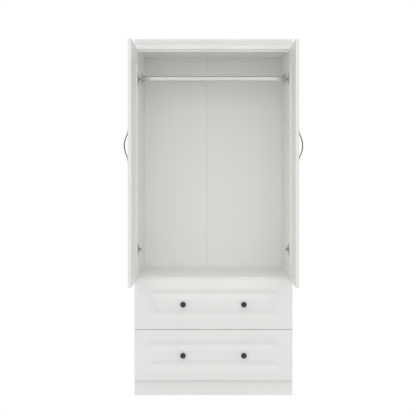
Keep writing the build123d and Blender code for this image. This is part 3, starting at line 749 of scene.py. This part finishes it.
def bumpers():
    """Soft domed buffers that the shut doors rest on."""
    bm = bmesh.new()
    for low, high, _ in islands("door_bumpers"):
        thick = high.y - low.y
        radius = (high.z - low.z) / 2
        profile = [(0, 0), (radius, 0), (radius * 0.985, thick * 0.35)]
        profile += [(radius * math.cos(turn) * 0.97, thick * (0.4 + 0.6 * math.sin(turn)))
                    for turn in (math.radians(angle) for angle in range(8, 90, 9))]
        profile += [(0, thick)]
        lathe(bm, profile, ((low.x + high.x) / 2, high.y, (low.z + high.z) / 2), (0, -1, 0), 36)
    add_piece("silicone_bumpers", bm, silicone, ["door_bumpers"], 50)


for side, sign in SIDES:
    door(side, sign)
    bow_handle(side, sign)
    rail_socket(side, sign)
    screws(f"{side}_handle_screws", 0)
    screws(f"{side}_hinge_cup_screws", 0)
for drawer in DRAWERS:
    drawer_face(drawer)
    turned_knobs(drawer)
    screws(f"{drawer}_drawer_knob_screws", 1)
    rollers(f"{drawer}_cabinet_rollers")
    rollers(f"{drawer}_drawer_rollers")
cornice()
rail()
bumpers()
screws("hinge_plate_screws", 0)
screws("rail_bracket_screws", 0)
screws("wall_bracket_screws", 2)

# ------------------------------------------------------------------ CAD nodes that stay
BOARD_ARRIS = 0.7 * MM
METAL_ARRIS = 0.25 * MM
ARRIS_ANGLE = math.radians(40)  # edges sharper than this are broken
WELD_GAP = 0.005 * MM
for name, node in nodes.items():
    slot = slot_of_node[name]
    material = board_upright if name in UPRIGHT_BOARDS else slot_material[slot]
    node.data.materials.clear()
    node.data.materials.append(material)
    weld = node.modifiers.new("weld", "WELD")
    weld.merge_threshold = WELD_GAP
    bevel = node.modifiers.new("arris", "BEVEL")
    bevel.width = BOARD_ARRIS if slot in ("board", "fronts") else METAL_ARRIS
    bevel.segments = 2
    bevel.limit_method = "ANGLE"
    bevel.angle_limit = ARRIS_ANGLE
    bevel.use_clamp_overlap = True
    normal = node.modifiers.new("normals", "WEIGHTED_NORMAL")
    normal.keep_sharp = False

# ------------------------------------------------------------------ studio
CARCASS_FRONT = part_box("left_side_panel")[0].y
FLOOR_HALF = 9.0
FLOOR_LEVEL = -0.5 * MM
FLOOR_GREY = 0.8
EVEN_LIGHT = 0.385
FRONT_LIGHT = ((0, -1, 0.05), 16, 2.25)     # direction it comes from, sharpness and strength
UPPER_LIGHT = ((0, -0.5, 1), 4, 1.18)
MIRRORED_EVEN = 0.18                        # what bright surfaces mirror: a room lit from the front
MIRRORED_FRONT = ((0, -1, 0.08), 6, 0.82)
FILL_TALL = 1.1
FILL_WIDE = 0.3
FILL_POWER = 0.31
FILL_HEIGHT = 1.17
FILL_FORWARD = 0.25                         # in front of the carcass
FILL_ASIDE = 0.01                           # from the middle plane

floor_mesh = bpy.data.meshes.new("studio_floor")
floor_signs = ((-1, -1), (1, -1), (1, 1), (-1, 1))
floor_corners = [(x * FLOOR_HALF, y * FLOOR_HALF, FLOOR_LEVEL) for x, y in floor_signs]
floor_mesh.from_pydata(floor_corners, [], [(0, 1, 2, 3)])
floor = bpy.data.objects.new("studio_floor", floor_mesh)
bpy.context.collection.objects.link(floor)


def for_rays(tree, kind, others, chosen):
    """One shader for rays of a kind, the other shader for all others."""
    choice = tree.nodes.new("ShaderNodeMixShader")
    tree.links.new(tree.nodes.new("ShaderNodeLightPath").outputs[kind], choice.inputs["Fac"])
    tree.links.new(others, choice.inputs[1])
    tree.links.new(chosen, choice.inputs[2])
    return choice.outputs["Shader"]


def white_to_the_eye(tree, white_kind, lit, output):
    """Pure white where it is seen directly; otherwise the given shader, which does the lighting."""
    white = tree.nodes.new(white_kind)
    white.inputs["Color"].default_value = (1, 1, 1, 1)
    white.inputs["Strength"].default_value = 1.0
    tree.links.new(for_rays(tree, "Is Camera Ray", lit, white.outputs[0]), output)


floor_material = bpy.data.materials.new("white_sweep")
floor_material.use_nodes = True
floor_tree = floor_material.node_tree
floor_shader = floor_tree.nodes["Principled BSDF"]
floor_shader.inputs["Base Color"].default_value = (FLOOR_GREY, FLOOR_GREY, FLOOR_GREY, 1)
floor_shader.inputs["Roughness"].default_value = 0.9
floor_shader.inputs["Specular IOR Level"].default_value = 0.1
floor_lit = floor_shader.outputs["BSDF"]
floor_surface = floor_tree.nodes["Material Output"].inputs["Surface"]
white_to_the_eye(floor_tree, "ShaderNodeEmission", floor_lit, floor_surface)
floor_mesh.materials.append(floor_material)

world = bpy.data.worlds.new("studio")
bpy.context.scene.world = world
world.use_nodes = True
world_tree = world.node_tree
sky = world_tree.nodes["Background"]
sky.inputs["Color"].default_value = (1, 1, 1, 1)
mirrored = world_tree.nodes.new("ShaderNodeBackground")
mirrored.inputs["Color"].default_value = (1, 1, 1, 1)
room = for_rays(world_tree, "Is Glossy Ray", sky.outputs["Background"], mirrored.outputs["Background"])
world_output = world_tree.nodes["World Output"]
white_to_the_eye(world_tree, "ShaderNodeBackground", room, world_output.inputs["Surface"])


def lobes(background, base, *lobe_list):
    """World light: an even base plus soft lobes, each a direction, a sharpness and a strength."""
    direction = world_tree.nodes.new("ShaderNodeTexCoord").outputs["Generated"]
    total = None
    for aim, sharpness, strength in lobe_list:
        dot = world_tree.nodes.new("ShaderNodeVectorMath")
        dot.operation = "DOT_PRODUCT"
        dot.inputs[1].default_value = Vector(aim).normalized()
        world_tree.links.new(direction, dot.inputs[0])
        facing = world_tree.nodes.new("ShaderNodeMath")
        facing.operation = "MAXIMUM"
        facing.inputs[1].default_value = 0.0
        world_tree.links.new(dot.outputs["Value"], facing.inputs[0])
        shaped = world_tree.nodes.new("ShaderNodeMath")
        shaped.operation = "POWER"
        shaped.inputs[1].default_value = sharpness
        world_tree.links.new(facing.outputs[0], shaped.inputs[0])
        scaled = world_tree.nodes.new("ShaderNodeMath")
        scaled.operation = "MULTIPLY_ADD"
        scaled.inputs[1].default_value = strength
        scaled.inputs[2].default_value = base if total is None else 0.0
        world_tree.links.new(shaped.outputs[0], scaled.inputs[0])
        if total is not None:
            world_tree.links.new(total, scaled.inputs[2])
        total = scaled.outputs[0]
    world_tree.links.new(total, background.inputs["Strength"])


lobes(sky, EVEN_LIGHT, FRONT_LIGHT, UPPER_LIGHT)
lobes(mirrored, MIRRORED_EVEN, MIRRORED_FRONT)


def fill_light(side, sign):
    """A faint tall lamp between the open doors that lifts their inner faces; the camera does not see it."""
    data = bpy.data.lights.new(f"fill_{side}", "AREA")
    data.shape = "RECTANGLE"
    data.size = FILL_TALL
    data.size_y = FILL_WIDE
    data.energy = FILL_POWER
    lamp = bpy.data.objects.new(f"fill_{side}", data)
    lamp.location = (sign * FILL_ASIDE, CARCASS_FRONT - FILL_FORWARD, FILL_HEIGHT)
    lamp.rotation_euler = (0, -sign * math.pi / 2, 0)
    lamp.visible_camera = False
    lamp.visible_glossy = False
    bpy.context.collection.objects.link(lamp)


for side, sign in SIDES:
    fill_light(side, sign)

# ------------------------------------------------------------------ camera
CAMERA_DISTANCE = 4.70          # from the carcass front plane
CAMERA_HEIGHT = 1.119
camera_data = bpy.data.cameras.new("camera")
camera_data.sensor_width = 36
camera_data.lens = 80.3
camera_data.shift_x = -0.0131
camera_data.shift_y = -0.0815
camera_data.clip_end = 60
camera = bpy.data.objects.new("camera", camera_data)
camera.location = (0, CARCASS_FRONT - CAMERA_DISTANCE, CAMERA_HEIGHT)
camera.rotation_euler = (math.pi / 2, 0, 0)
bpy.context.collection.objects.link(camera)
bpy.context.scene.camera = camera
bpy.context.scene.view_settings.view_transform = "Standard"
